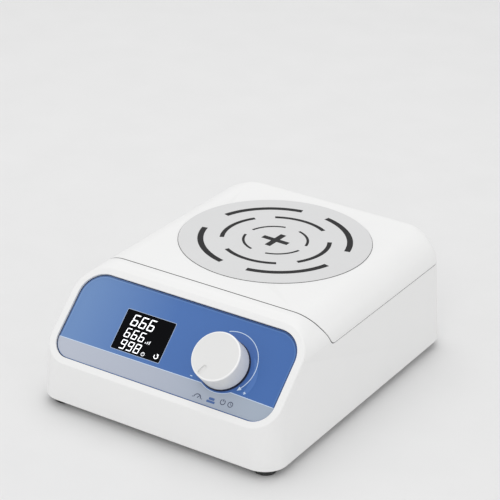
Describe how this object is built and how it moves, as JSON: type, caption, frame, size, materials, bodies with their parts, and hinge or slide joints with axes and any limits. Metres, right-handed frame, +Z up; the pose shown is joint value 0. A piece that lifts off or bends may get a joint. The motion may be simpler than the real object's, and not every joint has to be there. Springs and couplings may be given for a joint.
{
  "type": "magnetic stirrer",
  "caption": "Low bench magnetic stirrer with a round flat platform, sloping control panel with display, and a push-and-turn speed knob.",
  "frame": {"origin": "on the bench, under the middle of the case", "axes": "+X to the right seen from the control panel, +Y to the rear, +Z up through the platform"},
  "size_m": [0.188, 0.238, 0.0892],
  "materials": {
    "case_white": "fine satin moulded",
    "base_grey": "satin moulded",
    "rubber_black": "matte",
    "screw_steel": "zinc plated",
    "platform_grey": "satin coated with a printed dark target",
    "adhesive": "matte",
    "film_blue": "satin printed film, silver strip below",
    "window_black": "gloss",
    "module_dark": "satin",
    "board_green": "solder mask",
    "chip_black": "matte",
    "knob_white": "satin moulded",
    "cap_white": "smooth satin",
    "machined_metal": "turned",
    "motor_steel": "plated",
    "lamination": "stacked sheet",
    "copper_wire": "enamelled copper",
    "brass_hex": "machined",
    "magnet_nickel": "nickel plated",
    "part_black": "moulded",
    "plug_ivory": "moulded",
    "core_yellow": "taped winding",
    "can_blue": "sleeved can",
    "ribbon_grey": "flat cable",
    "wire_black": "insulation",
    "contact_metal": "tinned",
    "fuse_glass": "glass with metal ends"
  },
  "bodies": {
    "case": {"lower_housing": "case_white", "top_cover": "case_white", "base_plate": "base_grey", "rubber_feet": "rubber_black", "foot_screws": "screw_steel", "base_screws": "screw_steel", "cover_screws": "screw_steel", "platform_plate": "platform_grey", "platform_adhesive": "adhesive", "panel_film": "film_blue", "display_window": "window_black", "display_module": "module_dark", "control_board": "board_green", "control_chips": "chip_black", "control_board_screws": "screw_steel", "buzzer": "part_black", "encoder_body": "motor_steel", "encoder_nut": "screw_steel", "motor_housing": "motor_steel", "motor_end_bell": "motor_steel", "stator_core": "lamination", "stator_coils": "copper_wire", "upper_bearing": "magnet_nickel", "lower_bearing": "magnet_nickel", "motor_bracket": "machined_metal", "bracket_posts": "brass_hex", "vibration_grommets": "rubber_black", "bracket_screws": "screw_steel", "motor_screws": "screw_steel", "speed_sensor": "part_black", "driver_board": "board_green", "driver_standoffs": "brass_hex", "driver_board_screws": "screw_steel", "transformer": "core_yellow", "capacitors": "can_blue", "heat_sink": "motor_steel", "power_chips": "chip_black", "board_connectors": "plug_ivory", "ribbon_cable": "ribbon_grey", "motor_cable": "wire_black", "mains_wires": "wire_black", "power_inlet": "part_black", "inlet_pins": "contact_metal", "inlet_screws": "screw_steel"},
    "rotor": {"motor_shaft": "machined_metal", "motor_rotor": "lamination", "shaft_clip": "motor_steel", "magnet_holder": "machined_metal", "drive_magnets": "magnet_nickel", "holder_set_screw": "chip_black", "speed_disc": "part_black"},
    "knob_push_body": {"encoder_plunger": "plug_ivory"},
    "knob": {"speed_knob": "knob_white", "knob_cap": "cap_white", "encoder_shaft": "machined_metal"},
    "fuse_drawer": {"fuse_drawer": "part_black", "fuses": "fuse_glass"}
  },
  "joints": [
    {"name": "stirrer_spin", "type": "hinge", "parent": "case", "child": "rotor", "pos_m": [0, 0.0312, 0.05], "axis": [0, 0, 1], "continuous": true},
    {"name": "knob_press", "type": "slide", "parent": "case", "child": "knob_push_body", "axis": [0, 0.6934, -0.7206], "range_m": [0, 0.0006], "stiffness_N_per_m": 4000, "springref_m": -0.0003},
    {"name": "knob_turn", "type": "hinge", "parent": "knob_push_body", "child": "knob", "pos_m": [0.04, -0.09968, 0.06524], "axis": [0, -0.6934, 0.7206], "continuous": true},
    {"name": "fuse_drawer_slide", "type": "slide", "parent": "case", "child": "fuse_drawer", "axis": [0, 1, 0], "range_m": [0, 0.018]}
  ]
}
